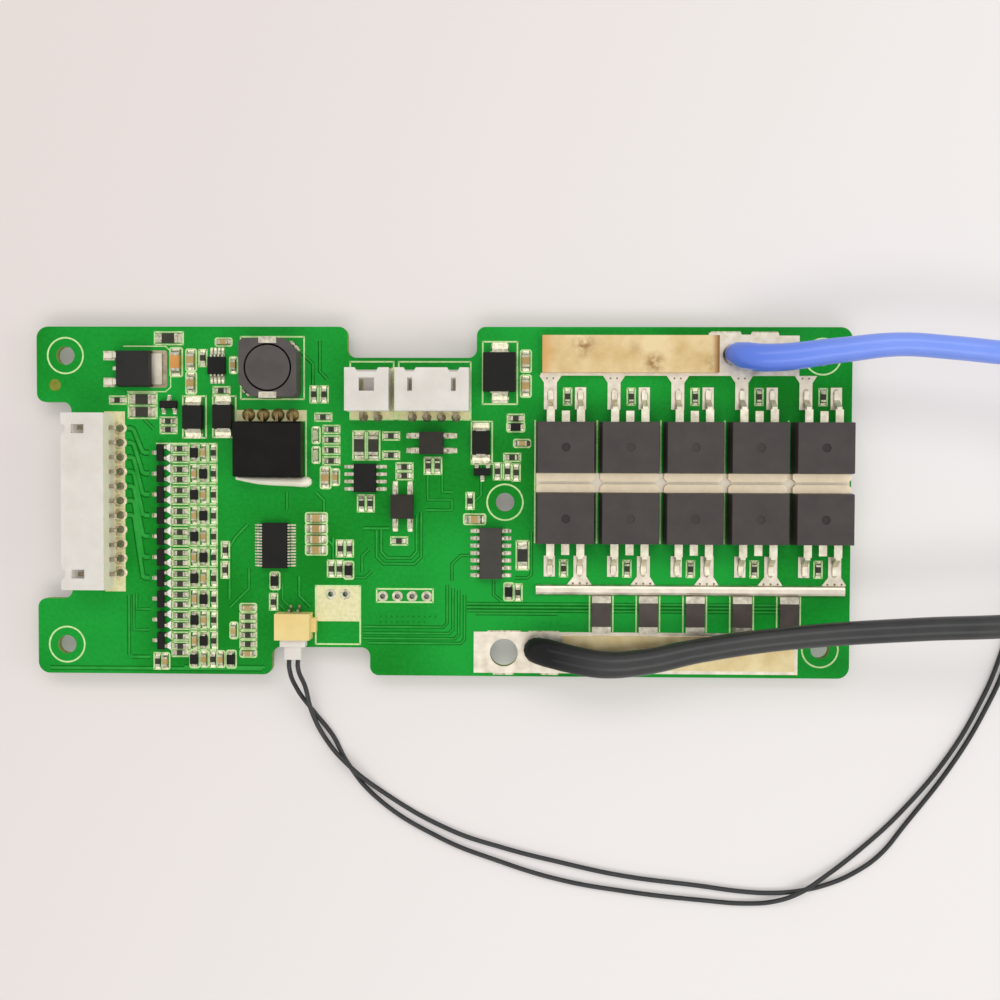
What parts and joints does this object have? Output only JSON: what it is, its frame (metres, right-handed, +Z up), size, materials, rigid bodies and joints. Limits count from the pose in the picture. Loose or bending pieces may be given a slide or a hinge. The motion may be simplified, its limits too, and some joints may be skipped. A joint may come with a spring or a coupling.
{
  "type": "battery management board",
  "caption": "Long green circuit board with rows of power transistors, copper bars, current shunts, plug sockets, two soldered leads and a plugged-in temperature sensor.",
  "frame": {"origin": "under the board's centre, on the surface that the pin tails rest on", "axes": "+X along the board's long side towards the leads, +Y to the edge with the two small sockets, +Z up through the component side"},
  "size_m": [0.2103, 0.1006, 0.0154],
  "materials": {
    "solder_mask": "semi-gloss green",
    "solder_tin": "satin, uneven",
    "copper": "satin, tarnished",
    "moulding_grey": "matte dark grey",
    "moulding_black": "matte black",
    "moulding_brown": "matte brown-grey",
    "tab_tin": "satin",
    "component_tin": "satin",
    "shunt_coating": "matte dark brown",
    "white_nylon": "satin white",
    "beige_nylon": "satin beige",
    "ferrite": "matte grey",
    "winding_copper": "enamelled copper",
    "module_case": "satin black",
    "white_glue": "soft gloss",
    "resistor_coating": "matte",
    "capacitor_ceramic": "matte tan",
    "blue_insulation": "satin blue",
    "black_insulation": "satin black",
    "epoxy_bead": "gloss black"
  },
  "bodies": {
    "root": {"circuit_board": "solder_mask", "tinned_lands": "solder_tin", "copper_bar": "copper", "copper_strip": "copper", "solder_bar": "solder_tin", "mosfet_1": "moulding_grey", "mosfet_2": "moulding_grey", "mosfet_3": "moulding_grey", "mosfet_4": "moulding_grey", "mosfet_5": "moulding_grey", "mosfet_6": "moulding_grey", "mosfet_7": "moulding_grey", "mosfet_8": "moulding_grey", "mosfet_9": "moulding_grey", "mosfet_10": "moulding_grey", "mosfet_frames_upper": "tab_tin", "mosfet_frames_lower": "tab_tin", "shunt_resistors": "shunt_coating", "shunt_ends": "component_tin", "balance_socket": "white_nylon", "balance_pins": "component_tin", "two_way_socket": "white_nylon", "two_way_pins": "component_tin", "four_way_socket": "white_nylon", "four_way_pins": "component_tin", "sensor_socket": "beige_nylon", "sensor_socket_pins": "component_tin", "sensor_plug": "white_nylon", "choke_shield": "ferrite", "choke_drum": "ferrite", "choke_winding": "winding_copper", "choke_terminals": "component_tin", "regulator_body": "moulding_black", "regulator_frame": "tab_tin", "monitor_chip": "moulding_black", "monitor_chip_legs": "component_tin", "logic_chip": "moulding_black", "logic_chip_legs": "component_tin", "small_chips": "moulding_black", "small_chip_legs": "component_tin", "optocouplers": "moulding_brown", "optocoupler_legs": "component_tin", "power_diodes": "moulding_black", "power_diode_ends": "component_tin", "sealed_module": "module_case", "sealed_module_pins": "component_tin", "glue_bead": "white_glue", "transistors": "moulding_black", "clamp_diodes": "moulding_black", "small_legs": "component_tin", "chip_resistors": "resistor_coating", "chip_capacitors": "capacitor_ceramic", "chip_ends": "component_tin", "lead_joints": "solder_tin", "blue_lead": "blue_insulation", "black_lead": "black_insulation", "lead_ends": "component_tin", "sensor_wire_1": "black_insulation", "sensor_wire_2": "black_insulation", "sensor_bead": "epoxy_bead"}
  },
  "joints": []
}
